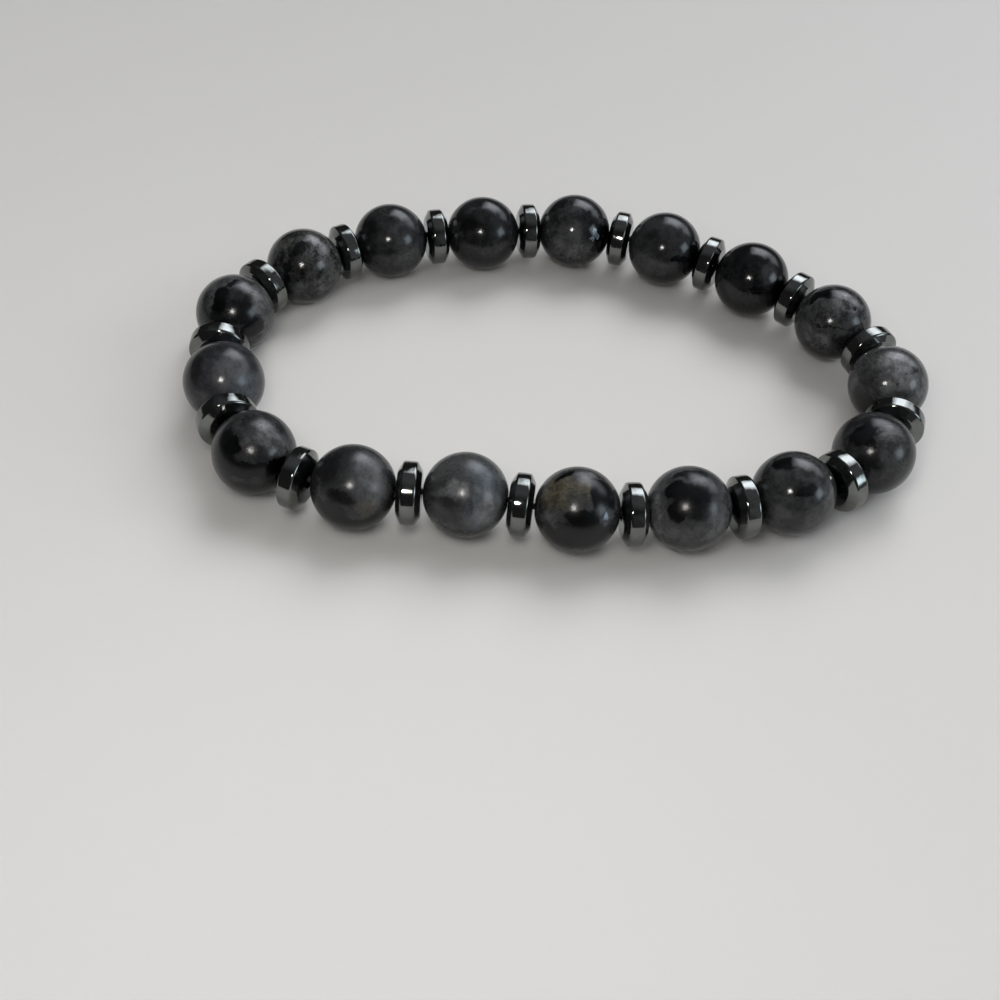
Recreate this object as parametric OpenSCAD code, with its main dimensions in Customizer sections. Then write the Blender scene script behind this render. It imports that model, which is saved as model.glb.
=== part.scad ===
// Elastic bracelet of round stone beads and flat polished spacers, lying on a level surface.
// Millimetres. +Z is up, +X runs along the long way of the oval, and the origin is the middle
// of the oval on the surface that the beads rest on.

/* [Beads] */
// Diameter of each round bead
bead_d = 8; // [7.6:0.1:8.4]
// Diameter of the thread bore through a bead
bead_bore_d = 1; // [1:0.05:1.2]
// How far the ground edge at a bore mouth widens the bore
mouth_w = 0.2; // [0.1:0.05:0.3]

/* [Spacers] */
// Outer diameter of each spacer
spacer_d = 6; // [5.4:0.1:6.4]
// Thickness of a spacer between its two hub faces
spacer_t = 2.3; // [2:0.1:2.8]
// Width of the flat band round a spacer's rim
rim_w = 1.3; // [0.8:0.05:1.6]
// Diameter of the flat hub on each face of a spacer
hub_d = 4.2; // [3:0.1:4.6]
// Size of the broken edge between the rim band and each bevel
edge_w = 0.08; // [0.04:0.01:0.12]
// Diameter of the thread bore through a spacer
spacer_bore_d = 1.3; // [1.3:0.05:1.5]

/* [Cord] */
// Thickness of the elastic cord
cord_d = 0.6; // [0.4:0.05:0.6]

/* [Fit] */
// Gap between a bead and the spacer beside it
gap = 0.05; // [0.04:0.01:0.1]

/* [Hidden] */
// The way from each bead to the next, in degrees from +X, going clockwise round the oval as it lies
BEARINGS = [94, 55, 32, 14, 9, -12, -25, -38, -64, -106, -144, -164, -174, -185, -180, -200, -244];
count = len(BEARINGS);
last = count - 1;

bead_r = bead_d / 2;
pitch = bead_d + spacer_t + 2 * gap;

// The cord leaves a bore off its axis by this share of the step between neighbouring bores
cord_ease = 0.15;
// The cord's corners are cut this far from the corner
corner_cut = 0.3;
cord_sides = 8;
round_fn = 96;

stone_grey = [0.17, 0.18, 0.18];
spacer_black = [0.09, 0.10, 0.12];
cord_black = [0.03, 0.03, 0.03];

function two(n) = n < 10 ? str("0", n) : str(n);
function bead_name(i) = str("bead_", two(i + 1));
function spacer_name(i) = str("spacer_", two(i + 1));

bead_names = [for (i = [0:last]) bead_name(i)];
spacer_names = [for (i = [0:last]) spacer_name(i)];

function unit(v) = v / norm(v);
function left_of(v) = [-v.y, v.x];
function after(i) = (i + 1) % count;
function before(i) = (i + last) % count;
function along(points, axis) = [for (p = points) p[axis]];

// A walk of equal steps along the bearings. What it misses its start by is shared by all steps.
function step_to(i) = pitch * [cos(BEARINGS[i]), sin(BEARINGS[i])];
function walk(i) = i == 0 ? [0, 0] : walk(i - 1) + step_to(i - 1);
miss = walk(last) + step_to(last);
loop_points = [for (i = [0:last]) walk(i) - miss * i / count];
middle = [for (axis = [0, 1]) (min(along(loop_points, axis)) + max(along(loop_points, axis))) / 2];
bead_centres = [for (p = loop_points) p - middle];

// A spacer stands square to the line between its two beads. A bead's bore halves the bend there.
function spacer_axis(i) = unit(bead_centres[after(i)] - bead_centres[i]);
function bead_axis(i) = unit(spacer_axis(before(i)) + spacer_axis(i));
function chord_middle(i) = (bead_centres[i] + bead_centres[after(i)]) / 2;
function bore_exit(i) = bead_centres[i] + bead_r * bead_axis(i);
function bore_entry(i) = bead_centres[i] - bead_r * bead_axis(i);

// How far outward of the line between two beads the cord leaves the first and enters the second
function exit_side(i) = (bore_exit(i) - chord_middle(i)) * left_of(spacer_axis(i));
function entry_side(i) = (bore_entry(after(i)) - chord_middle(i)) * left_of(spacer_axis(i));
function spacer_centre(i) =
    chord_middle(i) + left_of(spacer_axis(i)) * (exit_side(i) + entry_side(i)) / 2;

// A spacer hangs on the cord, less where the cord crosses its bore at a slant
play = (spacer_bore_d - cord_d) / 2 - gap;
function cord_lean(i) = (0.5 - cord_ease) * abs(entry_side(i) - exit_side(i));
function spacer_drop(i) = sqrt(max(0, pow(play, 2) - pow(cord_lean(i), 2)));

// The cord's corners at one spacer: out of the bead before it, and into the bead after it
function side_shift(i) = cord_ease * (entry_side(i) - exit_side(i)) * left_of(spacer_axis(i));
function cord_corners(i) = [bore_exit(i) + side_shift(i), bore_entry(after(i)) - side_shift(i)];
corners = [for (i = [0:last]) each cord_corners(i)];

// Each corner is cut off by two points, one on either side of it
function cut_from(a, b) = a + corner_cut * unit(b - a);
route = [
    for (k = [0:len(corners) - 1])
        let (here = corners[k])
        let (previous = corners[(k + len(corners) - 1) % len(corners)])
        let (next = corners[(k + 1) % len(corners)])
        each [cut_from(here, previous), cut_from(here, next)]
];

function turned_ring(k) =
    let (rings = len(route))
    let (here = route[k])
    let (way_in = unit(here - route[(k + rings - 1) % rings]))
    let (way_out = unit(route[(k + 1) % rings] - here))
    let (side = left_of(unit(way_in + way_out)))
    [
        for (s = [0:cord_sides - 1])
            let (turn = 360 * s / cord_sides)
            let (flat = here + side * cos(turn) * cord_d / 2)
            [flat.x, flat.y, bead_r + sin(turn) * cord_d / 2]
    ];

module bore(diameter, length) {
    cylinder(h = length, d = diameter, center = true, $fn = round_fn);
}

module bore_mouth() {
    mouth_r = bead_bore_d / 2 + mouth_w;
    mouth_z = sqrt(bead_r * bead_r - mouth_r * mouth_r);
    over = 0.5;
    translate([0, 0, mouth_z - mouth_w])
        cylinder(h = mouth_w + over, r1 = bead_bore_d / 2, r2 = mouth_r + over, $fn = round_fn);
}

module bead(i) {
    axis = bead_axis(i);
    color(stone_grey)
        translate([bead_centres[i].x, bead_centres[i].y, bead_r])
            rotate([0, 90, atan2(axis.y, axis.x)])
                difference() {
                    sphere(d = bead_d, $fn = round_fn);
                    bore(bead_bore_d, bead_d + 1);
                    bore_mouth();
                    mirror([0, 0, 1]) bore_mouth();
                }
}

// Half of a spacer's section, from the bore outwards: hub, bevel, broken edge and rim band
module spacer_section() {
    rim_r = spacer_d / 2;
    hub_r = hub_d / 2;
    half_t = spacer_t / 2;
    half_rim = rim_w / 2;
    bevel_slope = (half_t - half_rim) / (rim_r - hub_r);
    half = [
        [spacer_bore_d / 2, half_t],
        [hub_r, half_t],
        [rim_r - edge_w, half_rim + edge_w * bevel_slope],
        [rim_r, half_rim - edge_w]
    ];
    mirrored = [for (k = [len(half) - 1:-1:0]) [half[k].x, -half[k].y]];
    polygon(concat(half, mirrored));
}

module spacer(i) {
    axis = spacer_axis(i);
    color(spacer_black)
        translate([spacer_centre(i).x, spacer_centre(i).y, bead_r - spacer_drop(i)])
            rotate([0, 90, atan2(axis.y, axis.x)])
                rotate_extrude($fn = round_fn) spacer_section();
}

// A closed tube along the route. Each ring is joined to the next, and the last to the first.
module elastic_cord() {
    points = [for (k = [0:len(route) - 1]) each turned_ring(k)];
    sides = cord_sides;
    faces = [
        for (k = [0:len(route) - 1])
            let (here = k * sides)
            let (next = (k + 1) % len(route) * sides)
            for (s = [0:sides - 1])
                let (t = (s + 1) % sides)
                [here + s, here + t, next + t, next + s]
    ];
    color(cord_black) polyhedron(points = points, faces = faces, convexity = 10);
}

for (i = [0:last]) {
    bead(i);
    spacer(i);
}
elastic_cord();
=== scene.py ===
"""Elastic bracelet of polished stone beads and hematite spacers, dressed for a studio view.

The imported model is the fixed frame. Every bead, every spacer and the cord is made again around it
as a finer surface with its own finish, then the floor, the lights and the camera are set. All
lengths are in metres unless a name says otherwise.
"""

import math

import bpy
import numpy as np
from bpy.props import FloatProperty, FloatVectorProperty, IntProperty, PointerProperty
from bpy.types import Operator, Panel, PropertyGroup
from mathutils import Matrix, Vector


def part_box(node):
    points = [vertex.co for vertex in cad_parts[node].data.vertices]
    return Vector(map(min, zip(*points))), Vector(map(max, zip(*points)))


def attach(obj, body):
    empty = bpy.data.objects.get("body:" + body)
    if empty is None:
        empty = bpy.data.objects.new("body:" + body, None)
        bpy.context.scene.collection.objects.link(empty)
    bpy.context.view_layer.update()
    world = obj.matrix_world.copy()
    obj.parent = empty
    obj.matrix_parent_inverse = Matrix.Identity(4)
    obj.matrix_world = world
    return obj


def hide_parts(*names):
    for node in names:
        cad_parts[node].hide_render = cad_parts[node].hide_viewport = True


bl_info = {
    "name": "Gemstone Bead Bracelet",
    "version": (1, 0, 0),
    "blender": (4, 5, 0),
    "location": "3D View > Sidebar > Bracelet",
    "description": "Makes a stretch bracelet of stone beads and hematite spacers, and its studio",
    "category": "Add Mesh",
}

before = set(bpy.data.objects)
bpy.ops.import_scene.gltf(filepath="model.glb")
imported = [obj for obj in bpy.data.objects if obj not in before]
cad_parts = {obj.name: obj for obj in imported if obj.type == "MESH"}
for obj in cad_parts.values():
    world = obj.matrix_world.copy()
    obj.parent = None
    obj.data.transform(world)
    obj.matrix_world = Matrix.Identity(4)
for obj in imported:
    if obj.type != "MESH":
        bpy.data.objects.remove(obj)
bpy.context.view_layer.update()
BODY = "root"
MM = 0.001

BEADS = sorted(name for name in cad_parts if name.startswith("bead_"))
SPACERS = sorted(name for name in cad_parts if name.startswith("spacer_"))
CORD = "elastic_cord"


# The camera, and directions as it sees them

CAMERA_PLACE = np.array([-5.85, -104.93, 96.72]) * MM
CAMERA_AZIMUTH = math.radians(0.53)
CAMERA_DOWN = math.radians(47.72)
CAMERA_ROLL = math.radians(4.30)
CAMERA_LENS_MM = 48.87
SENSOR_MM = 36.0
NEAREST_SEEN = 1 * MM
FARTHEST_SEEN = 20.0
UP = np.array([0.0, 0.0, 1.0])


def camera_axes():
    """Right, up and backward axes of the camera: turned a little from +Y, pitched down, then rolled."""
    ahead = np.array([math.sin(CAMERA_AZIMUTH), math.cos(CAMERA_AZIMUTH), 0.0])
    level_right = np.cross(ahead, UP)
    level_up = math.sin(CAMERA_DOWN) * ahead + math.cos(CAMERA_DOWN) * UP
    backward = math.sin(CAMERA_DOWN) * UP - math.cos(CAMERA_DOWN) * ahead
    right = math.cos(CAMERA_ROLL) * level_right + math.sin(CAMERA_ROLL) * level_up
    up = math.cos(CAMERA_ROLL) * level_up - math.sin(CAMERA_ROLL) * level_right
    return right, up, backward


def seen_axes(centre):
    """Across, up and towards axes at a bead: towards is the line to the camera, up is square to it."""
    towards = unit(CAMERA_PLACE - centre)
    across = unit(np.cross(camera_axes()[1], towards))
    return across, np.cross(towards, across), towards


def unit(vectors):
    """Each vector divided by its own length."""
    vectors = np.asarray(vectors, float)
    return vectors / np.linalg.norm(vectors, axis=-1, keepdims=True)


def compass(azimuth, elevation):
    """Direction at an azimuth from +Y towards +X and an elevation above the floor, in degrees."""
    turn, rise = math.radians(azimuth), math.radians(elevation)
    return np.array([math.sin(turn) * math.cos(rise), math.cos(turn) * math.cos(rise), math.sin(rise)])


# Where the pieces are


def middle_of(node):
    """Middle of a node's box."""
    low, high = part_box(node)
    return (np.array(low) + np.array(high)) / 2


def left_of(direction):
    """A level direction turned a quarter turn to its left."""
    direction = np.asarray(direction, float)
    return np.stack([-direction[..., 1], direction[..., 0], 0 * direction[..., 0]], axis=-1)


BEAD_RADIUS = (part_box(BEADS[0])[1].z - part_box(BEADS[0])[0].z) / 2
SPACER_RADIUS = (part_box(SPACERS[0])[1].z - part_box(SPACERS[0])[0].z) / 2
BEAD_CENTRES = np.array([middle_of(name) for name in BEADS])
SPACER_CENTRES = np.array([middle_of(name) for name in SPACERS])
SPACER_AXES = unit(np.roll(BEAD_CENTRES, -1, axis=0) - BEAD_CENTRES)
BEAD_AXES = unit(np.roll(SPACER_AXES, 1, axis=0) + SPACER_AXES)


# Surfaces


def new_object(name, data):
    """An object at the origin for a mesh, a light or the camera, put into the scene."""
    made = bpy.data.objects.new(name, data)
    bpy.context.scene.collection.objects.link(made)
    return made


def grid_object(name, points, around=None):
    """A closed surface from a grid of points: each quad joins two rows and two columns, and the last
    row and column join the first. With around given, a UV map runs 0 to 1 along the columns and 0
    to around along the rows."""
    rows, columns = points.shape[:2]
    corner = np.arange(rows * columns).reshape(rows, columns)
    next_row = np.roll(corner, -1, axis=0)
    next_column = np.roll(corner, -1, axis=1)
    next_both = np.roll(next_row, -1, axis=1)
    faces = np.stack([corner, next_row, next_both, next_column], axis=-1).reshape(-1, 4)
    mesh = bpy.data.meshes.new(name)
    mesh.from_pydata(points.reshape(-1, 3), [], faces.tolist())
    mesh.polygons.foreach_set("use_smooth", np.ones(len(faces), bool))
    if around is not None:
        row, column = np.divmod(np.arange(rows * columns), columns)
        along_row = np.stack([row, row + 1, row + 1, row], axis=-1) / rows * around
        along_column = np.stack([column, column, column + 1, column + 1], axis=-1) / columns
        layer = mesh.uv_layers.new(name="along")
        layer.uv.foreach_set("vector", np.stack([along_column, along_row], axis=-1).ravel())
    mesh.update()
    return new_object(name, mesh)


def curve_through(start, corner, end, steps):
    """Points on the quadratic curve that leaves start towards corner and arrives at end from it. The
    three are single points, or rows of points, each row for a curve of its own."""
    t = np.linspace(0, 1, steps)[:, None]
    start, corner, end = (given[..., None, :] for given in (start, corner, end))
    return (1 - t) ** 2 * start + 2 * t * (1 - t) * corner + t**2 * end


def rounded(corners, radii, steps, support):
    """A closed outline with each corner replaced by an arc of its own radius. The arc starts and
    ends where it touches the two sides, and one more point stands on each side just past it."""
    back = unit(np.roll(corners, 1, axis=0) - corners)
    ahead = unit(np.roll(corners, -1, axis=0) - corners)
    half = np.arccos(np.sum(back * ahead, axis=1)) / 2
    reach = (radii / np.tan(half))[:, None]
    centre = corners + unit(back + ahead) * (radii / np.sin(half))[:, None]
    first = corners + back * reach
    final = corners + ahead * reach
    e1 = (first - centre)[:, None, :]
    toward = final - centre
    sweep = math.pi - 2 * half
    e2 = ((toward - e1[:, 0] * np.cos(sweep)[:, None]) / np.sin(sweep)[:, None])[:, None, :]
    angle = (np.linspace(0, 1, steps)[None, :] * sweep[:, None])[:, :, None]
    arcs = centre[:, None, :] + e1 * np.cos(angle) + e2 * np.sin(angle)
    before = (first + back * support)[:, None, :]
    beyond = (final + ahead * support)[:, None, :]
    return np.concatenate([before, arcs, beyond], axis=1).reshape(-1, 2)


def turned(profile, centre, axis, sides):
    """A closed profile of (along the axis, out from the axis) carried once round a level axis."""
    turn = np.arange(sides) / sides * 2 * math.pi
    outward = np.cos(turn)[:, None] * left_of(axis) + np.sin(turn)[:, None] * UP
    return centre + profile[:, None, :1] * axis + profile[:, None, 1:] * outward[None, :, :]


def tube(path, radius, sides):
    """A circle carried along a closed level path: each ring stands square to the path there."""
    way = unit(np.roll(path, -1, axis=0) - np.roll(path, 1, axis=0))
    turn = (np.arange(sides) / sides * 2 * math.pi)[None, :, None]
    ring = np.cos(turn) * left_of(way)[:, None, :] + np.sin(turn) * UP
    return path[:, None, :] + radius * ring


# Materials


class Value:
    """One output of a node. Operators on it add Math nodes, so shader maths reads as a sum."""

    def __init__(self, nodes, socket):
        self.nodes = nodes
        self.socket = socket

    def maths(self, operation, *terms):
        return self.nodes.node("Math", {"operation": operation}, dict(enumerate(terms)))

    def __add__(self, other):
        return self.maths("ADD", self, other)

    def __sub__(self, other):
        return self.maths("SUBTRACT", self, other)

    def __rsub__(self, other):
        return self.maths("SUBTRACT", other, self)

    def __mul__(self, other):
        return self.maths("MULTIPLY", self, other)

    __radd__ = __add__
    __rmul__ = __mul__


class Nodes:
    """A node tree under way. Its one method node adds any node."""

    def __init__(self, tree):
        self.tree = tree

    def feed(self, socket, value):
        """Links a Value to a socket, or sets the socket's own number or colour."""
        if isinstance(value, Value):
            self.tree.links.new(value.socket, socket)
        else:
            socket.default_value = value

    def node(self, kind, settings=None, sockets=None, output=0):
        """Adds a node, sets its settings and then its sockets, and gives one of its outputs."""
        made = self.tree.nodes.new("ShaderNode" + kind)
        for setting, value in (settings or {}).items():
            setattr(made, setting, value)
        for socket, value in (sockets or {}).items():
            self.feed(made.inputs[socket], value)
        return Value(self, made.outputs[output])


class Finish(Nodes):
    """A material under way. Its methods name a few uses of node."""

    def __init__(self, name):
        self.material = bpy.data.materials.new(name)
        self.material.use_nodes = True
        super().__init__(self.material.node_tree)
        self.shader = self.tree.nodes["Principled BSDF"]

    def place(self, centre=(0, 0, 0), turn=(0, 0, 0), size=(1, 1, 1), points=None):
        """Points in a frame of its own: moved to centre, turned, and measured in size."""
        points = points or self.node("TexCoord", output="Object")
        settings = {"vector_type": "TEXTURE"}
        return self.node("Mapping", settings, {0: points, 1: centre, 2: turn, 3: size})

    def noise(self, points, scale, detail=2.0, rough=0.5, output="Fac"):
        """Cloudy noise, finer with more scale and with more detail."""
        sockets = {"Vector": points, "Scale": scale, "Detail": detail, "Roughness": rough}
        return self.node("TexNoise", None, sockets, output)

    def cells(self, points, scale, output="Distance"):
        """Scattered cells: the distance to the nearest cell's middle, or a colour for each cell."""
        return self.node("TexVoronoi", None, {"Vector": points, "Scale": scale}, output)

    def vectors(self, operation, *terms, output=0):
        """A vector worked out from one or two others."""
        return self.node("VectorMath", {"operation": operation}, dict(enumerate(terms)), output)

    def drift(self, points, scale, amount, detail=2.0):
        """Points pushed about by noise, up to about half the amount each way."""
        push = self.vectors("SUBTRACT", self.noise(points, scale, detail, output="Color"), (0.5,) * 3)
        return self.vectors("ADD", points, self.vectors("MULTIPLY", push, (amount,) * 3))

    def ease(self, value, low, high, low_value=0.0, high_value=1.0):
        """A smooth step: low_value below low, high_value above high."""
        settings = {"interpolation_type": "SMOOTHSTEP"}
        sockets = {0: value, 1: low, 2: high, 3: low_value, 4: high_value}
        return self.node("MapRange", settings, sockets)

    def blend(self, share, first, second):
        """The first colour turned into the second by a share."""
        return self.node("Mix", {"data_type": "RGBA"}, {0: share, 6: first, 7: second}, output=2)

    def bump(self, height, distance):
        """Shading as if the surface stood out by the height times the distance."""
        return self.node("Bump", None, {"Height": height, "Distance": distance, "Strength": 1.0})

    def set(self, **sockets):
        """Sets or links the shader's sockets, named with _ for each space."""
        for name, value in sockets.items():
            self.feed(self.shader.inputs[name.replace("_", " ")], value)
        return self.material


def rgba(colour):
    """A colour with full cover."""
    return (*colour, 1.0)


# The stone: what shows on each bead

JET = (0.0009, 0.0012, 0.0015)
BLACK = (0.0031, 0.0035, 0.0042)
COAL = (0.0077, 0.0082, 0.0089)
SOOT = (0.0130, 0.0137, 0.0145)
DIM = (0.0215, 0.0225, 0.0235)
GREY = (0.0330, 0.0343, 0.0355)
ASH = (0.0480, 0.0498, 0.0510)
PALE = (0.0780, 0.0800, 0.0830)
LIGHT = (0.1300, 0.1330, 0.1380)
MOSS = (0.0315, 0.0340, 0.0315)
TAN = (0.0740, 0.0670, 0.0480)
DUSK = (0.0385, 0.0388, 0.0440)
BLUE = (0.0780, 0.0920, 0.1050)
# A bright blue-white for painted highlight and sheen: flash spots where the side window shows on beads 6
# and 14, and the blue sheen on the far side
PAINTED_FLASH = (0.2400, 0.3100, 0.3700)

# The colours whose patches have a crisp edge, and how far an edge reaches to either side of the patch's
# own outline, as a share of the patch
CRISP = (JET, BLACK, PAINTED_FLASH)
CRISP_EDGE = 0.18
HAZY_EDGE = 0.42

# How far the pattern moves from one bead to the next, in bead radii, so that no two are alike
STONE_SHIFT = np.array([7.3, 3.1, 5.7])
STONE_RELIEF = 0.002 * MM
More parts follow.
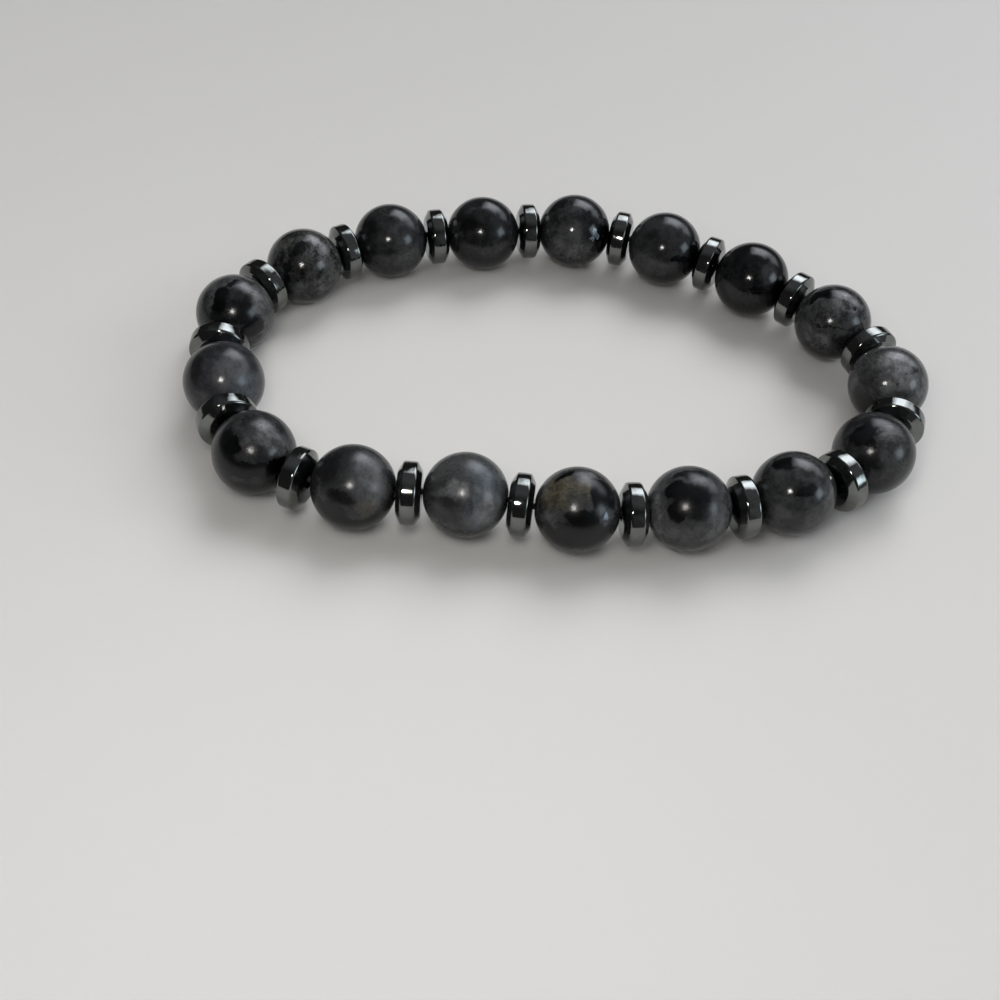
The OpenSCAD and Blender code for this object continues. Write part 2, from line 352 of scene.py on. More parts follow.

# Each bead: its ground colour, how strong its mottling is, its roughness, and its patches. A patch is a
# colour, its middle as the camera sees it, across and up in bead radii, its half width and half height,
# how far it is turned to the left in degrees, and how much of it covers the ground. The patches are the
# stone's markings, and some are also painted light and shade: the dark bands along the lower edge of most
# beads are painted shade where a bead faces the shadowed paper, the pale and light patches on the upper
# right of beads 1, 2, 3, 9, 10 and 17 are lighter stone with painted window light on the side facing the
# window, and the flash spots are painted highlight and sheen. Comments in the table name the rest.
STONES = {
    "bead_01": (DUSK, 0.35, 0.175, [
        # The SOOT patches are painted shade on the left limb and along the top, with a painted reflection
        # of the dark spacer along the top
        (SOOT, -0.80, 0.30, 0.34, 0.60, 0, 0.9),
        (SOOT, -0.22, 0.74, 0.55, 0.24, 10, 0.7),
        (PALE, 0.18, 0.20, 0.42, 0.38, 0, 0.7),
        (COAL, 0.55, 0.70, 0.18, 0.16, -35, 0.5),
        (BLUE, 0.52, -0.20, 0.40, 0.46, 15, 0.8),
    ]),
    "bead_02": (ASH, 0.60, 0.19, [
        (PALE, 0.60, 0.42, 0.34, 0.42, -25, 0.9),
        (LIGHT, 0.40, 0.46, 0.30, 0.22, -35, 0.8),
        (SOOT, -0.82, 0.05, 0.20, 0.50, 0, 0.8),
        (COAL, 0.02, 0.20, 0.44, 0.58, 0, 1.0),
        (DIM, 0.08, 0.52, 0.24, 0.16, 20, 0.8),
        (JET, -0.38, 0.34, 0.22, 0.42, -12, 1.0),
        (BLACK, 0.00, 0.78, 0.24, 0.12, 10, 1.0),
        (BLACK, 0.34, -0.06, 0.34, 0.24, -35, 1.0),
        (BLACK, 0.48, -0.38, 0.34, 0.20, 10, 1.0),
        (BLACK, -0.42, -0.28, 0.40, 0.26, 0, 0.9),
    ]),
    "bead_03": (MOSS, 0.95, 0.13, [
        (COAL, -0.35, -0.15, 0.30, 0.70, 0, 0.8),
        (BLACK, -0.45, -0.45, 0.12, 0.48, 8, 0.9),
        (PALE, 0.32, 0.48, 0.42, 0.34, -20, 0.9),
        (ASH, -0.58, 0.24, 0.16, 0.26, 10, 0.7),
        (BLACK, -0.10, 0.52, 0.16, 0.22, 0, 0.9),
        (JET, -0.40, 0.86, 0.30, 0.09, 28, 1.0),
        (ASH, -0.74, 0.35, 0.13, 0.34, 15, 0.8),
        (GREY, -0.10, -0.62, 0.30, 0.20, 0, 0.8),
        (PALE, 0.48, -0.42, 0.07, 0.36, 0, 0.6),
        (COAL, 0.22, -0.62, 0.12, 0.34, 0, 0.7),
        (ASH, 0.76, 0.06, 0.20, 0.42, 0, 0.8),
        (COAL, 0.02, -0.88, 0.55, 0.12, 0, 0.8),
    ]),
    "bead_04": (DIM, 0.55, 0.14, [
        (COAL, -0.68, 0.15, 0.30, 0.62, 0, 0.9),
        (GREY, 0.28, 0.25, 0.32, 0.36, 0, 0.9),
        (ASH, 0.50, -0.42, 0.34, 0.34, 0, 0.7),
        (COAL, 0.95, 0.12, 0.16, 0.45, 0, 0.7),
        (BLACK, -0.25, -0.88, 0.40, 0.12, 0, 0.9),
        (COAL, -0.05, -0.30, 0.28, 0.10, 0, 0.7),
        (COAL, -0.10, 0.62, 0.20, 0.12, 30, 0.7),
    ]),
    "bead_05": (SOOT, 0.65, 0.14, [
        (BLACK, -0.38, 0.24, 0.26, 0.24, 0, 0.9),
        (DIM, -0.10, -0.52, 0.44, 0.22, 0, 0.6),
        (GREY, 0.55, -0.22, 0.22, 0.26, 0, 0.6),
        (GREY, -0.25, 0.64, 0.32, 0.09, 12, 0.8),
        (DIM, -0.75, 0.10, 0.12, 0.28, 0, 0.8),
        (COAL, 0.88, 0.00, 0.15, 0.50, 0, 0.9),
        (COAL, 0.10, -0.72, 0.50, 0.18, 0, 0.8),
    ]),
    "bead_06": (DIM, 0.65, 0.10, [
        (ASH, -0.02, -0.30, 0.62, 0.56, 0, 0.9),
        (PALE, 0.14, -0.62, 0.36, 0.22, 0, 0.6),
        (GREY, -0.25, 0.22, 0.32, 0.26, 0, 0.7),
        (GREY, 0.02, 0.62, 0.24, 0.22, 0, 0.5),
        (BLACK, -0.45, 0.70, 0.26, 0.15, 20, 0.8),
        (COAL, 0.42, 0.36, 0.28, 0.36, 0, 0.9),
        (JET, 0.72, -0.06, 0.48, 0.28, -8, 1.0),
        (JET, 0.72, -0.42, 0.26, 0.24, 0, 1.0),
        # Painted flash spots
        (PAINTED_FLASH, 0.58, -0.02, 0.10, 0.10, 20, 1.0),
        (PAINTED_FLASH, 0.50, -0.20, 0.09, 0.08, -20, 1.0),
        (PAINTED_FLASH, 0.66, -0.14, 0.05, 0.08, 0, 0.8),
        (BLACK, -0.38, -0.80, 0.10, 0.07, 0, 0.9),
        (BLACK, -0.28, -0.68, 0.06, 0.05, 0, 0.8),
        (BLACK, -0.10, -0.74, 0.05, 0.04, 0, 0.8),
    ]),
    "bead_07": (DIM, 0.45, 0.12, [
        (GREY, -0.45, -0.36, 0.44, 0.36, 0, 0.8),
        (DIM, 0.00, 0.75, 0.45, 0.20, 0, 0.6),
        (COAL, -0.35, 0.42, 0.24, 0.14, 0, 0.8),
        (BLACK, -0.45, 0.40, 0.05, 0.05, 0, 0.9),
        (JET, 0.84, -0.14, 0.26, 0.44, 0, 1.0),
        (JET, 0.36, -0.28, 0.18, 0.11, 0, 1.0),
        (BLACK, 0.58, -0.40, 0.22, 0.28, 0, 0.9),
        (COAL, 0.10, -0.82, 0.50, 0.16, 0, 0.8),
        (COAL, 0.10, 0.88, 0.40, 0.12, 0, 0.6),
    ]),
    "bead_08": (COAL, 0.65, 0.13, [
        (SOOT, -0.25, -0.40, 0.50, 0.32, 0, 0.8),
        (BLACK, -0.15, 0.55, 0.32, 0.22, 0, 0.9),
        (JET, -0.20, 0.36, 0.10, 0.08, 0, 0.9),
        (JET, 0.16, -0.30, 0.25, 0.14, -15, 1.0),
        (JET, 0.76, -0.26, 0.30, 0.32, 0, 1.0),
        (GREY, 0.46, 0.16, 0.22, 0.26, 0, 0.7),
        (DIM, 0.16, -0.54, 0.07, 0.08, 0, 0.9),
        (BLACK, 0.02, 0.84, 0.42, 0.14, 0, 0.9),
    ]),
    "bead_09": (GREY, 0.85, 0.14, [
        (JET, -0.02, 0.76, 0.36, 0.20, 0, 1.0),
        (BLACK, -0.42, 0.70, 0.26, 0.13, 28, 1.0),
        (PALE, -0.42, -0.40, 0.30, 0.26, 0, 0.6),
        # Painted shade on the left limb
        (SOOT, -0.80, -0.10, 0.18, 0.44, 0, 0.8),
        (LIGHT, 0.42, 0.48, 0.40, 0.26, -25, 0.7),
        (PALE, 0.10, 0.18, 0.26, 0.20, 0, 0.6),
        (PALE, 0.78, 0.10, 0.16, 0.36, 0, 0.7),
        (ASH, -0.30, -0.08, 0.30, 0.10, -10, 0.8),
        (BLACK, 0.00, -0.12, 0.95, 0.022, -8, 0.8),
        # Painted shadow of the spacer beside it
        (COAL, 0.34, -0.52, 0.44, 0.20, 0, 0.9),
        (COAL, 0.00, -0.86, 0.60, 0.15, 0, 0.9),
        (BLACK, 0.58, 0.34, 0.07, 0.04, -30, 0.9),
        (BLACK, 0.72, 0.30, 0.05, 0.04, 0, 0.9),
    ]),
    "bead_10": (ASH, 0.55, 0.13, [
        (LIGHT, 0.24, 0.46, 0.48, 0.54, 20, 1.0),
        (LIGHT, 0.02, 0.18, 0.22, 0.36, -10, 0.8),
        (LIGHT, 0.78, -0.04, 0.18, 0.34, 0, 0.7),
        (DIM, -0.48, 0.28, 0.24, 0.26, 0, 0.5),
        (COAL, -0.68, -0.40, 0.34, 0.40, 0, 1.0),
        (JET, -0.34, -0.56, 0.46, 0.24, -14, 1.0),
        (BLACK, -0.30, -0.80, 0.42, 0.14, -10, 0.9),
        (SOOT, 0.66, 0.36, 0.07, 0.09, 0, 1.0),
        (SOOT, 0.42, 0.27, 0.06, 0.05, 0, 1.0),
        (SOOT, 0.28, -0.02, 0.05, 0.05, 0, 0.6),
    ]),
    "bead_11": (DIM, 0.55, 0.195, [
        (BLACK, -0.22, 0.48, 0.40, 0.26, 15, 0.9),
        (JET, -0.35, 0.58, 0.13, 0.07, 0, 1.0),
        (JET, -0.08, 0.22, 0.18, 0.11, 0, 1.0),
        (ASH, 0.52, -0.05, 0.40, 0.55, 0, 0.8),
        (LIGHT, 0.36, 0.48, 0.24, 0.20, 0, 0.7),
        (COAL, 0.06, 0.80, 0.44, 0.16, 0, 0.9),
        (COAL, 0.10, -0.82, 0.60, 0.20, 0, 0.9),
        (GREY, -0.80, 0.00, 0.14, 0.40, 0, 0.7),
        (COAL, -0.12, -0.42, 0.30, 0.42, 0, 0.9),
    ]),
    "bead_12": (GREY, 0.50, 0.13, [
        (BLACK, -0.20, 0.70, 0.30, 0.22, -10, 1.0),
        (SOOT, -0.78, 0.10, 0.20, 0.62, 0, 0.8),
        (JET, 0.28, 0.06, 0.34, 0.15, 10, 1.0),
        (SOOT, 0.12, 0.16, 0.42, 0.20, 0, 0.7),
        (ASH, 0.55, -0.48, 0.36, 0.36, 0, 0.6),
        (PALE, 0.80, 0.10, 0.16, 0.40, 0, 0.7),
        (SOOT, 0.15, -0.50, 0.20, 0.20, 0, 0.5),
        (SOOT, -0.65, -0.52, 0.20, 0.24, 0, 0.6),
    ]),
    "bead_13": (ASH, 0.45, 0.23, [
        (SOOT, 0.05, 0.34, 0.58, 0.36, 0, 0.95),
        (BLACK, -0.30, 0.46, 0.28, 0.20, 0, 1.0),
        (BLACK, 0.08, 0.28, 0.46, 0.32, 0, 1.0),
        (BLACK, 0.04, 0.80, 0.42, 0.16, 0, 0.9),
        (BLACK, -0.24, -0.06, 0.22, 0.28, 0, 1.0),
        (COAL, 0.18, -0.06, 0.34, 0.18, 0, 0.9),
        (LIGHT, -0.76, -0.20, 0.20, 0.42, 5, 1.0),
        (PALE, 0.55, -0.36, 0.34, 0.26, 0, 0.7),
        (DIM, 0.00, -0.82, 0.60, 0.16, 0, 0.7),
    ]),
    "bead_14": (GREY, 0.55, 0.23, [
        (TAN, -0.50, 0.38, 0.40, 0.40, -25, 1.0),
        (TAN, 0.10, 0.50, 0.34, 0.24, -10, 0.7),
        (MOSS, 0.05, 0.22, 0.30, 0.18, -10, 0.9),
        # The darker lower half is painted shade where the bead faces the shadowed paper
        (BLACK, 0.00, -0.62, 0.90, 0.40, 0, 0.95),
        (LIGHT, 0.20, 0.78, 0.22, 0.14, 0, 0.7),
        (ASH, -0.62, -0.10, 0.20, 0.24, 0, 0.8),
        (JET, -0.25, 0.81, 0.26, 0.10, 22, 1.0),
        (JET, 0.10, -0.22, 0.38, 0.20, -8, 1.0),
        (BLACK, 0.60, 0.30, 0.34, 0.36, 0, 1.0),
        (JET, 0.52, 0.58, 0.22, 0.18, 0, 1.0),
        (JET, 0.50, -0.02, 0.22, 0.16, 0, 1.0),
        # A painted flash spot with a blue halo round it
        (BLUE, 0.66, -0.12, 0.20, 0.20, 0, 0.4),
        (PAINTED_FLASH, 0.67, -0.14, 0.09, 0.10, 0, 0.8),
    ]),
    "bead_15": (ASH, 0.32, 0.24, [
        (SOOT, -0.56, -0.14, 0.42, 0.10, -10, 0.8),
        (SOOT, -0.62, 0.26, 0.24, 0.10, 10, 0.5),
        (SOOT, -0.40, -0.46, 0.34, 0.24, -30, 0.7),
        (BLUE, 0.42, -0.02, 0.40, 0.80, 0, 0.9),
        (LIGHT, 0.56, -0.34, 0.32, 0.42, 0, 0.9),
        # Painted shade on the left limb
        (DIM, -0.86, 0.20, 0.22, 0.70, 0, 0.6),
        # A painted highlight round the lamp's glint
        (LIGHT, -0.14, 0.12, 0.42, 0.19, -4, 1.0),
        (DIM, 0.14, 0.02, 0.06, 0.50, 4, 0.5),
        (SOOT, 0.00, -0.86, 0.50, 0.12, 0, 0.7),
    ]),
    "bead_16": (DIM, 0.40, 0.235, [
        (COAL, -0.58, 0.46, 0.38, 0.38, 0, 0.9),
        (PALE, 0.36, 0.40, 0.38, 0.46, 0, 0.8),
        (PALE, 0.48, -0.16, 0.40, 0.38, 0, 0.9),
        (BLACK, -0.28, -0.26, 0.34, 0.18, -8, 0.7),
        (ASH, -0.20, 0.02, 0.20, 0.12, 0, 0.6),
        (BLACK, -0.52, -0.56, 0.40, 0.26, 0, 0.9),
        (TAN, 0.32, -0.46, 0.24, 0.20, 0, 0.5),
        (BLACK, 0.05, -0.82, 0.60, 0.18, 0, 0.9),
    ]),
    "bead_17": (DIM, 0.55, 0.21, [
        (JET, -0.50, 0.15, 0.24, 0.24, 0, 1.0),
        (BLACK, -0.70, 0.00, 0.30, 0.55, 0, 0.9),
        (ASH, -0.02, 0.44, 0.24, 0.34, 0, 0.9),
        (LIGHT, 0.26, 0.48, 0.20, 0.18, 20, 0.6),
        (PALE, 0.48, 0.20, 0.38, 0.22, -12, 0.8),
        (SOOT, 0.50, 0.52, 0.24, 0.12, 20, 0.8),
        (BLACK, -0.15, -0.42, 0.62, 0.26, 0, 0.95),
        (JET, 0.58, -0.30, 0.34, 0.20, -8, 1.0),
        (SOOT, 0.05, -0.80, 0.50, 0.18, 0, 0.9),
    ]),
}


def patch_mask(finish, points, axes, patch):
    """How far a patch covers each point: 1 inside an ellipsoid about its middle, easing to 0."""
    colour, across, up, wide, tall, turn, cover = patch
    right, top, towards = axes
    depth = math.sqrt(max(0.0, 1 - across**2 - up**2))
    middle = across * right + up * top + depth * towards
    side = unit(right - middle * (right @ middle))
    rise = np.cross(middle, side)
    angle = math.radians(turn)
    first = math.cos(angle) * side + math.sin(angle) * rise
    facing = Matrix([first, np.cross(middle, first), middle]).transposed().to_euler()
    placed = finish.place(tuple(middle), tuple(facing), (wide, tall, max(wide, tall)), points)
    reach = finish.vectors("LENGTH", placed, output="Value")
    edge = CRISP_EDGE if colour in CRISP else HAZY_EDGE
    return finish.ease(reach, low=1 + edge, high=1 - edge) * cover


def stone_finish(name, centre, seed):
    """Polished larvikite: the bead's patches on its ground, its markings with painted light and shade
    among them, and black blots and a faint painted blue sheen on its far side. All of it is mottled by
    crystals, cloud, grain and cleavage streaks, with sparse black specks."""
    ground, mottling, polish, patches = STONES[name]
    finish = Finish("stone_" + name)
    ball = finish.place(tuple(centre), size=(BEAD_RADIUS,) * 3)
    shifted = finish.vectors("ADD", ball, tuple(seed * STONE_SHIFT))
    loose = finish.drift(shifted, scale=2.2, amount=0.8, detail=3.0)

    wavy = finish.drift(ball, scale=2.6, amount=0.36, detail=2.0)
    near = finish.drift(wavy, scale=9.0, amount=0.15, detail=3.0)
    axes = seen_axes(centre)
    colour = rgba(ground)
    for patch in patches:
        colour = finish.blend(patch_mask(finish, near, axes, patch), colour, rgba(patch[0]))

    facing = finish.vectors("DOT_PRODUCT", ball, tuple(axes[2]), output="Value")
    away = finish.ease(facing, low=0.15, high=-0.25)
    blots = finish.ease(finish.noise(loose, scale=1.5, detail=3.0), low=0.58, high=0.63) * away
    colour = finish.blend(blots * 0.92, colour, rgba(BLACK))
    # A faint blue sheen painted into the colour on the far side
    sheen = finish.ease(finish.noise(loose, scale=2.1, detail=1.0), low=0.64, high=0.76) * away
    colour = finish.blend(sheen * 0.4, colour, rgba(PAINTED_FLASH))

    crystal = finish.cells(loose, scale=3.1, output="Color")
    tone = finish.node("SeparateColor", None, {0: crystal}, "Red")
    cloud = finish.ease(finish.noise(shifted, scale=2.9, detail=5.0, rough=0.62), low=0.32, high=0.68)
    grain = finish.ease(finish.noise(shifted, scale=14.0, detail=4.0, rough=0.7), low=0.30, high=0.70)
    flakes = finish.place(turn=(0.6, 0.3, seed), size=(0.05, 0.4, 0.4), points=loose)
    streaks = finish.ease(finish.noise(flakes, scale=1.0), low=0.35, high=0.65)
    light = 0.24 * tone + 0.44 * cloud + 0.18 * grain + 0.14 * streaks
    darkest = 1 - 0.85 * mottling
    lightest = 1 + 0.75 * mottling
    strength = finish.ease(light, low=0.2, high=0.8, low_value=darkest, high_value=lightest)
    mottled = finish.node("VectorMath", {"operation": "SCALE"}, {0: colour, "Scale": strength})

    dots = finish.ease(finish.cells(shifted, scale=7.0), low=0.20, high=0.12)
    specks = dots * finish.ease(cloud, low=0.60, high=0.75)
    colour = finish.blend(specks * (0.85 * mottling), mottled, rgba(JET))

    rough = polish + 0.05 * grain - 0.03 * cloud
    relief = finish.bump(grain, STONE_RELIEF)
    finish.set(IOR=1.54, Specular_IOR_Level=0.28)
    return finish.set(Base_Color=colour, Roughness=rough, Normal=relief)


# The other finishes

HEMATITE = (0.160, 0.166, 0.158)
HAZED_HEMATITE = (0.190, 0.197, 0.187)
PIT = (0.05, 0.045, 0.045)
HEMATITE_SHIFT = np.array([2.3, 4.1, 1.9])
HEMATITE_RELIEF = 0.003 * MM
# Turning marks: how many in a spacer's radius, and how far their pattern moves between spacers
MARKS = 60
MARKS_SHIFT = 3.7

# The cord's colour in the grooves between strands, darker as painted shade, and on the strands' ridges
ELASTIC_GROOVE = (0.006, 0.006, 0.007)
ELASTIC_RIDGE = (0.030, 0.029, 0.028)
ELASTIC_RELIEF = 0.01 * MM
# Strands side by side round the cord, and the length in which they wind round it once
STRANDS = 9
STRAND_TURN = 2 * MM

# How dark the paper's clouds are beside its colour
PAPER_CLOUD = 0.985
PAPER_RELIEF = 0.002 * MM


def hematite_finish(name, centre, axis, seed, polish):
    """Polished hematite: a dark mirror with faint turning marks round its axis and a few pits."""
    finish = Finish("hematite_" + name)
    facing = Matrix([axis, left_of(axis), UP]).transposed().to_euler()
    disc = finish.place(tuple(centre), tuple(facing), (SPACER_RADIUS,) * 3)
    flat = finish.vectors("MULTIPLY", disc, (0, 1, 1))
    out = finish.vectors("LENGTH", flat, output="Value")
    along = finish.node("SeparateXYZ", None, {0: disc}, 0)
    ring = finish.node("CombineXYZ", None, {0: out * MARKS, 1: along * MARKS, 2: seed * MARKS_SHIFT})
    turning = finish.noise(ring, scale=1.0, detail=2.0)
    shifted = finish.vectors("ADD", disc, tuple(seed * HEMATITE_SHIFT))
    haze = finish.noise(shifted, scale=3.0, detail=4.0, rough=0.6)
    dots = finish.ease(finish.cells(shifted, scale=14.0), low=0.10, high=0.05)
    pits = dots * finish.ease(haze, low=0.55, high=0.62)
    hazy = finish.ease(haze, low=0.35, high=0.7)
    colour = finish.blend(hazy, rgba(HEMATITE), rgba(HAZED_HEMATITE))
    colour = finish.blend(pits, colour, rgba(PIT))
    rough = polish + 0.05 * finish.ease(haze, low=0.45, high=0.75) + 0.02 * turning
    relief = finish.bump(turning * 0.5 - pits, HEMATITE_RELIEF)
    finish.set(Metallic=1.0)
    return finish.set(Base_Color=colour, Roughness=rough, Normal=relief)


def elastic_finish(turns):
    """Black elastic: many fine strands that wind round the cord, with a dull rubbery sheen."""
    finish = Finish("black_elastic")
    uv = finish.node("UVMap", {"uv_map": "along"})
    u = finish.node("SeparateXYZ", None, {0: uv}, 0)
    v = finish.node("SeparateXYZ", None, {0: uv}, 1)
    winding = (u * STRANDS + v * turns) * (2 * math.pi)
    strand = finish.node("Math", {"operation": "SINE"}, {0: winding})
    fuzz = finish.noise(finish.node("TexCoord", output="Object"), scale=9000.0, detail=2.0)
    # Darker in the grooves between the strands, as painted shade, and paler on their ridges
    shade = finish.ease(strand * 0.5 + fuzz * 0.6, low=-0.4, high=0.9)
    colour = finish.blend(shade, rgba(ELASTIC_GROOVE), rgba(ELASTIC_RIDGE))
    relief = finish.bump(strand, ELASTIC_RELIEF)
    return finish.set(Base_Color=colour, Roughness=0.5 + 0.2 * fuzz, Normal=relief)


def paper_finish(colour):
    """Plain pale paper: a faint cloudiness and a fine tooth."""
    finish = Finish("pale_paper")
    points = finish.node("TexCoord", output="Object")
    cloud = finish.noise(points, scale=9.0, detail=2.0)
    tooth = finish.noise(points, scale=2600.0, detail=2.0)
    share = finish.ease(cloud + tooth * 0.05, low=0.3, high=0.9)
    pale = finish.blend(share, rgba(np.array(colour) * PAPER_CLOUD), rgba(colour))
    relief = finish.bump(tooth, PAPER_RELIEF)
    finish.set(Specular_IOR_Level=0.2)
    return finish.set(Base_Color=pale, Roughness=0.88 + 0.04 * tooth, Normal=relief)


# The pieces


def seat(piece, node, material):
    """Gives a piece its finish, hides the solid it stands for, and sets it on what it rides on."""
    piece.data.materials.append(material)
    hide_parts(node)
    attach(piece, BODY)


# Points on a bead's mouth edge, at the foot of its ground cone and along its bore, and the share of the
# way to the cone that the bore's points reach
RIM_STEPS = 5
FOOT_STEPS = 4
BORE_STEPS = 5
BORE_REACH = 0.8

# A spacer: how far its rim band is crowned, the radii of the crown's top and of the bore's edge, the
# points on each arc, and how far past an arc the next point stands
CROWN = 0.02 * MM
CROWN_RADIUS = 6 * MM
BORE_EDGE = 0.04 * MM
ARC_STEPS = 6
ARC_SUPPORT = 0.01 * MM

# Points on each bend of the cord
BEND_STEPS = 6


def bead_profile(bore, mouth, ease, rings):
    """Half section of a drilled ball as a closed loop: along the ball's arc from one mouth to the
    other, then over the eased mouth edge, down the ground cone and back along the bore."""
    mouth_radius = bore + mouth
    mouth_at = math.sqrt(BEAD_RADIUS**2 - mouth_radius**2)
    start = math.asin((mouth_radius + ease) / BEAD_RADIUS)
    angle = np.linspace(start, math.pi - start, rings)
    ball = BEAD_RADIUS * np.stack([np.cos(angle), np.sin(angle)], axis=-1)
    rim = np.array([mouth_at, mouth_radius])
    foot = np.array([mouth_at - mouth, bore])
    slope = unit(foot - rim)
    edge = curve_through(ball[0], rim, rim + slope * ease, RIM_STEPS)[1:]
    cone = curve_through(foot - slope * ease, foot, foot - np.array([ease, 0]), FOOT_STEPS)
    way_in = np.concatenate([edge, cone])
    along = np.linspace(BORE_REACH, -BORE_REACH, BORE_STEPS) * foot[0]
    inside = np.stack([along, np.full(BORE_STEPS, bore)], axis=-1)
    way_out = way_in[::-1] * (-1, 1)
    return np.concatenate([ball[::-1], way_in, inside, way_out])


def spacer_profile(radius, thick, rim, hub, bore, round_rim, round_hub):
    """Half section of a spacer as a closed loop: hub faces, bevels and a slightly crowned rim band,
    with every corner rounded."""
    half, band = thick / 2, rim / 2
    low = radius - CROWN
    corners = np.array([
        (half, bore), (half, hub), (band, low), (0, radius), (-band, low), (-half, hub), (-half, bore),
    ])
    radii = np.array([BORE_EDGE, round_hub, round_rim, CROWN_RADIUS, round_rim, round_hub, BORE_EDGE])
    return rounded(corners, radii, ARC_STEPS, ARC_SUPPORT)


class BeadSettings(PropertyGroup):
    bore: FloatProperty(
        name="Bore", description="Diameter of the thread bore", default=1.0 * MM,
        min=0.5 * MM, max=2.0 * MM, unit="LENGTH", subtype="DISTANCE")
    mouth: FloatProperty(
        name="Mouth", description="How far the ground edge widens the bore", default=0.2 * MM,
        min=0.05 * MM, max=0.5 * MM, unit="LENGTH", subtype="DISTANCE")
    ease: FloatProperty(
        name="Eased edge", description="How far the polish eases the mouth's edge",
        default=0.05 * MM, min=0.01 * MM, max=0.1 * MM, unit="LENGTH", subtype="DISTANCE")
    sides: IntProperty(name="Sides", description="Points round a bead", default=96, min=24, max=160)
    rings: IntProperty(name="Rings", description="Points from mouth to mouth", default=64, min=16, max=128)


class SpacerSettings(PropertyGroup):
    thick: FloatProperty(
        name="Thickness", description="Between the two hub faces", default=2.3 * MM,
        min=1.0 * MM, max=4.0 * MM, unit="LENGTH", subtype="DISTANCE")
    rim: FloatProperty(
        name="Rim band", description="Width of the band round the rim", default=1.3 * MM,
        min=0.5 * MM, max=2.0 * MM, unit="LENGTH", subtype="DISTANCE")
    hub: FloatProperty(
        name="Hub", description="Diameter of the flat hub", default=4.2 * MM,
        min=2.0 * MM, max=5.0 * MM, unit="LENGTH", subtype="DISTANCE")
    bore: FloatProperty(
        name="Bore", description="Diameter of the thread bore", default=1.3 * MM,
        min=0.8 * MM, max=2.0 * MM, unit="LENGTH", subtype="DISTANCE")
    round_rim: FloatProperty(
        name="Rim rounding", description="Radius at the two edges of the rim band",
        default=0.28 * MM, min=0.02 * MM, max=0.6 * MM, unit="LENGTH", subtype="DISTANCE")
    round_hub: FloatProperty(
        name="Hub rounding", description="Radius where the bevel meets the hub",
        default=0.5 * MM, min=0.02 * MM, max=1.0 * MM, unit="LENGTH", subtype="DISTANCE")
    polish: FloatProperty(
        name="Polish", description="Roughness of the polished surface", default=0.07,
        min=0.0, max=1.0, subtype="FACTOR")
    sides: IntProperty(name="Sides", description="Points round a spacer", default=96, min=24, max=160)


class CordSettings(PropertyGroup):
    thick: FloatProperty(
        name="Thickness", description="Diameter of the elastic cord", default=0.6 * MM,
        min=0.3 * MM, max=1.0 * MM, unit="LENGTH", subtype="DISTANCE")
    ease: FloatProperty(
        name="Ease", description="Share of the step between bores that the cord takes up inside them",
        default=0.15, min=0.0, max=0.4, subtype="FACTOR")
    cut: FloatProperty(
        name="Corner", description="How far each corner of the route is rounded", default=0.3 * MM,
        min=0.05 * MM, max=0.5 * MM, unit="LENGTH", subtype="DISTANCE")
    sides: IntProperty(name="Sides", description="Points round the cord", default=16, min=8, max=32)


class StageSettings(PropertyGroup):
    floor: FloatVectorProperty(
        name="Floor", description="Colour of the paper", default=(0.690, 0.681, 0.664),
        min=0.0, max=1.0, subtype="COLOR")
    window: FloatProperty(
        name="Windows", description="Gain of the windows and walls that the polish reflects",
        default=1.0, min=0.0, max=20.0)
    daylight: FloatProperty(
        name="Daylight", description="Strength of the window's light on matt surfaces", default=1.70,
        min=0.0, max=20.0)
    beside: FloatProperty(
        name="Beside", description="Brightness of the soft light on the right", default=5.0,
        min=0.0, max=100.0)
    lamp: FloatProperty(
        name="Lamp", description="Brightness of the small lamp that the polish reflects", default=76.0,
        min=0.0, max=1000.0)
    glow: FloatProperty(
        name="Glow", description="Brightness of the lamp's soft light on matt surfaces", default=5.94,
        min=0.0, max=100.0)
    fill: FloatProperty(
        name="Fill", description="Brightness of the even light on matt surfaces", default=0.25,
        min=0.0, max=1.0)
    room: FloatProperty(
        name="Room", description="Brightness of the dim room in reflections", default=0.04,
        min=0.0, max=1.0)


class BraceletSettings(PropertyGroup):
    beads: PointerProperty(name="Beads", description="Sizes of the stone beads", type=BeadSettings)
    spacers: PointerProperty(
        name="Spacers", description="Sizes and polish of the hematite spacers", type=SpacerSettings)
    cord: PointerProperty(name="Cord", description="Size and route of the elastic cord", type=CordSettings)
    stage: PointerProperty(name="Studio", description="The floor and the lights", type=StageSettings)


class BRACELET_OT_beads(Operator):
    """Make the polished stone beads"""

    bl_idname = "bracelet.beads"
    bl_label = "Stone Beads"

    def execute(self, context):
        given = context.scene.bracelet.beads
        profile = bead_profile(given.bore / 2, given.mouth, given.ease, given.rings)
        for k, name in enumerate(BEADS):
            points = turned(profile, BEAD_CENTRES[k], BEAD_AXES[k], given.sides)
            piece = grid_object("stone_" + name, points)
            material = stone_finish(name, BEAD_CENTRES[k], k + 1)
            seat(piece, name, material)
        return {"FINISHED"}


class BRACELET_OT_spacers(Operator):
    """Make the hematite spacers"""

    bl_idname = "bracelet.spacers"
    bl_label = "Hematite Spacers"

    def execute(self, context):
        given = context.scene.bracelet.spacers
        profile = spacer_profile(
            SPACER_RADIUS, given.thick, given.rim, given.hub / 2, given.bore / 2,
            given.round_rim, given.round_hub)
        for k, name in enumerate(SPACERS):
            points = turned(profile, SPACER_CENTRES[k], SPACER_AXES[k], given.sides)
            piece = grid_object("hematite_" + name, points)
            material = hematite_finish(name, SPACER_CENTRES[k], SPACER_AXES[k], k + 1, given.polish)
            seat(piece, name, material)
        return {"FINISHED"}


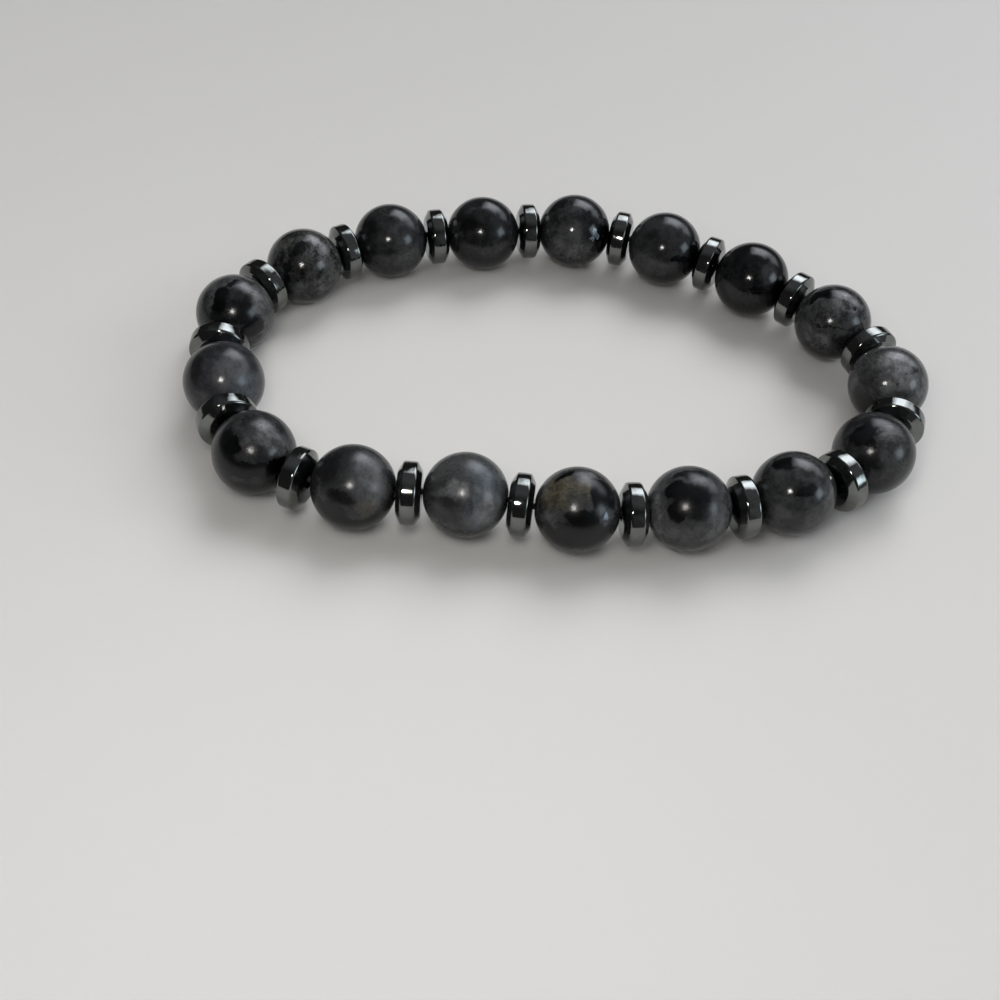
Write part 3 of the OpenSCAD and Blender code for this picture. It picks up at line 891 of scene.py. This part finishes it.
def cord_route(ease, cut):
    """The cord's line: straight through every bore, leaving each a little off its axis towards the
    next, with its corners rounded by short curves."""
    next_centre = np.roll(BEAD_CENTRES, -1, axis=0)
    out_of = BEAD_CENTRES + BEAD_RADIUS * BEAD_AXES
    into = next_centre - BEAD_RADIUS * np.roll(BEAD_AXES, -1, axis=0)
    side = left_of(SPACER_AXES)
    chord = (BEAD_CENTRES + next_centre) / 2
    exit_side = np.sum((out_of - chord) * side, axis=1)
    entry_side = np.sum((into - chord) * side, axis=1)
    shift = (ease * (entry_side - exit_side))[:, None] * side
    corners = np.stack([out_of + shift, into - shift], axis=1).reshape(-1, 3)
    back = corners + cut * unit(np.roll(corners, 1, axis=0) - corners)
    ahead = corners + cut * unit(np.roll(corners, -1, axis=0) - corners)
    return curve_through(back, corners, ahead, BEND_STEPS).reshape(-1, 3)


class BRACELET_OT_cord(Operator):
    """Make the elastic cord that holds the string together"""

    bl_idname = "bracelet.cord"
    bl_label = "Elastic Cord"

    def execute(self, context):
        given = context.scene.bracelet.cord
        route = cord_route(given.ease, given.cut)
        length = np.linalg.norm(np.roll(route, -1, axis=0) - route, axis=1).sum()
        points = tube(route, given.thick / 2, given.sides)
        piece = grid_object("black_" + CORD, points, around=1.0)
        seat(piece, CORD, elastic_finish(round(length / STRAND_TURN)))
        return {"FINISHED"}


# The stage

COOL = (0.88, 0.92, 1.0)
COOLER = (0.76, 0.90, 1.0)
FAINTLY_COOL = (0.97, 0.98, 1.0)
WARM = (1.0, 0.965, 0.92)

# Panes of light: a name, the azimuth from +Y towards +X, the elevation, the width and the height in
# degrees, the brightness and the colour
PANES = (
    ("window", 21.0, 42.0, 30.0, 28.0, 5.1, COOL),
    ("second_window", 55.0, 31.0, 20.0, 20.0, 2.2, COOL),
    ("side_window", 109.0, 23.0, 20.0, 18.0, 4.8, COOLER),
    ("right_wall", 110.0, 20.0, 90.0, 60.0, 0.15, COOL),
    ("ceiling", 20.0, 80.0, 80.0, 50.0, 0.15, COOL),
)
PANE_DISTANCE = 1.2
PANE_STEP = 0.02
# The angles of a pane's sheets beside those of the pane, from the nearest sheet to the farthest
SOFT_EDGE = (1.3, 1.0, 0.7)

# Azimuth and elevation that the daylight comes from, and its spread, in degrees
DAYLIGHT = (20.0, 46.0)
DAYLIGHT_SPREAD = 38.0

LAMP_PLACE = np.array([-26.4, -96.4, 103.4]) * MM
LAMP_WIDTH = 18.0 * MM
GLOW_PLACE = np.array([-27.5, -84.6, 114.1]) * MM
GLOW_WIDTH = 58.4 * MM
RIGHT_PLACE = np.array([250.0, 40.0, 160.0]) * MM
RIGHT_WIDTH = 120 * MM

# Brightness of what the camera sees past the floor, and half the floor's width
BACKDROP = 0.56
FLOOR_HALF = 6.0


def glow(name, place, size, brightness, colour, shape="RECTANGLE"):
    """An area light of an even brightness that faces the middle of the bracelet. Its power is pi
    times its area times the brightness."""
    data = bpy.data.lights.new(name, "AREA")
    data.shape = shape
    data.size, data.size_y = size
    area = size[0] * size[1] * (math.pi / 4 if shape == "ELLIPSE" else 1)
    data.energy = math.pi * area * brightness
    data.color = colour
    lamp = new_object(name, data)
    lamp.location = place
    lamp.rotation_euler = shining_from(place)
    lamp.visible_camera = False
    return lamp


def shining_from(direction):
    """Turn of a light that shines from a direction onto the middle of the bracelet."""
    return Vector(direction).to_track_quat("Z", "Y").to_euler()


def pane(name, direction, angles, brightness, colour):
    """A pane of light in a direction, as wide and tall as its angles from the bracelet. Several
    sheets of unlike size, one behind another, share its brightness, so that its edge is soft.
    It shows in the polish alone, so that the light on the matt surfaces can be set by itself."""
    for k, share in enumerate(SOFT_EDGE):
        away = PANE_DISTANCE + k * PANE_STEP
        size = [2 * away * math.tan(math.radians(angle * share) / 2) for angle in angles]
        sheet = glow(f"{name}_{k + 1}", direction * away, size, brightness / len(SOFT_EDGE), colour)
        sheet.visible_diffuse = False


def daylight(direction, spread, strength, colour):
    """Even light on the matt surfaces from one side of the sky, as wide as its spread in degrees."""
    data = bpy.data.lights.new("daylight", "SUN")
    data.energy = strength
    data.angle = math.radians(spread)
    data.color = colour
    sun = new_object("daylight", data)
    sun.rotation_euler = shining_from(direction)
    sun.visible_glossy = False


def make_floor(colour):
    """A level square sheet at the height that the beads rest on."""
    corners = [(x * FLOOR_HALF, y * FLOOR_HALF, 0) for x, y in ((-1, -1), (1, -1), (1, 1), (-1, 1))]
    mesh = bpy.data.meshes.new("floor")
    mesh.from_pydata(corners, [], [(0, 1, 2, 3)])
    floor = new_object("floor", mesh)
    mesh.materials.append(paper_finish(colour))


def make_room(fill, reflected):
    """Even light from all round for matt surfaces, a dim room that the polish reflects, and a pale
    backdrop where the camera looks past the floor."""
    world = bpy.data.worlds.new("room")
    world.use_nodes = True
    bpy.context.scene.world = world
    nodes = Nodes(world.node_tree)
    background = world.node_tree.nodes["Background"]
    strength = reflected
    for ray, brightness in (("Is Diffuse Ray", fill), ("Is Camera Ray", BACKDROP)):
        share = nodes.node("LightPath", output=ray)
        strength = nodes.node("Mix", None, {0: share, 2: strength, 3: brightness})
    nodes.feed(background.inputs["Color"], rgba((1.0, 1.0, 1.0)))
    nodes.feed(background.inputs["Strength"], strength)


def make_camera():
    """The camera at the photo's place and angle."""
    data = bpy.data.cameras.new("camera")
    data.lens = CAMERA_LENS_MM
    data.sensor_width = SENSOR_MM
    data.clip_start = NEAREST_SEEN
    data.clip_end = FARTHEST_SEEN
    camera = new_object("camera", data)
    right, up, backward = camera_axes()
    turn = Matrix([right, up, backward]).transposed()
    camera.matrix_world = Matrix.Translation(CAMERA_PLACE) @ turn.to_4x4()
    bpy.context.scene.camera = camera


class BRACELET_OT_stage(Operator):
    """Set the floor, the lights, the dim room and the camera"""

    bl_idname = "bracelet.stage"
    bl_label = "Studio"

    def execute(self, context):
        given = context.scene.bracelet.stage
        make_camera()
        make_floor(tuple(given.floor))
        make_room(given.fill, given.room)
        for name, azimuth, elevation, wide, tall, brightness, colour in PANES:
            pane(name, compass(azimuth, elevation), (wide, tall), given.window * brightness, colour)
        daylight(compass(*DAYLIGHT), DAYLIGHT_SPREAD, given.daylight, FAINTLY_COOL)
        lamp = glow("lamp", LAMP_PLACE, (LAMP_WIDTH,) * 2, given.lamp, WARM, "ELLIPSE")
        lamp.visible_diffuse = False
        soft = glow("lamp_glow", GLOW_PLACE, (GLOW_WIDTH,) * 2, given.glow, WARM, "ELLIPSE")
        side = glow("right_glow", RIGHT_PLACE, (RIGHT_WIDTH,) * 2, given.beside, COOL)
        soft.visible_glossy = side.visible_glossy = False
        context.scene.view_settings.view_transform = "Standard"
        return {"FINISHED"}


OPERATORS = (BRACELET_OT_stage, BRACELET_OT_beads, BRACELET_OT_spacers, BRACELET_OT_cord)


class BRACELET_PT_panel(Panel):
    """Lists the bracelet's pieces and their settings"""

    bl_label = "Bead Bracelet"
    bl_idname = "BRACELET_PT_panel"
    bl_space_type = "VIEW_3D"
    bl_region_type = "UI"
    bl_category = "Bracelet"

    def draw(self, context):
        settings = context.scene.bracelet
        groups = (settings.stage, settings.beads, settings.spacers, settings.cord)
        for operator, group in zip(OPERATORS, groups):
            box = self.layout.box()
            box.operator(operator.bl_idname)
            for name in group.__annotations__:
                box.prop(group, name)


CLASSES = (
    BeadSettings, SpacerSettings, CordSettings, StageSettings, BraceletSettings,
    *OPERATORS, BRACELET_PT_panel,
)


def register():
    for cls in CLASSES:
        bpy.utils.register_class(cls)
    bpy.types.Scene.bracelet = PointerProperty(
        name="Bracelet", description="Settings of the bracelet and its studio", type=BraceletSettings)


def unregister():
    del bpy.types.Scene.bracelet
    for cls in reversed(CLASSES):
        bpy.utils.unregister_class(cls)


def main():
    register()
    bpy.ops.bracelet.stage()
    bpy.ops.bracelet.beads()
    bpy.ops.bracelet.spacers()
    bpy.ops.bracelet.cord()


if __name__ == "__main__":
    main()
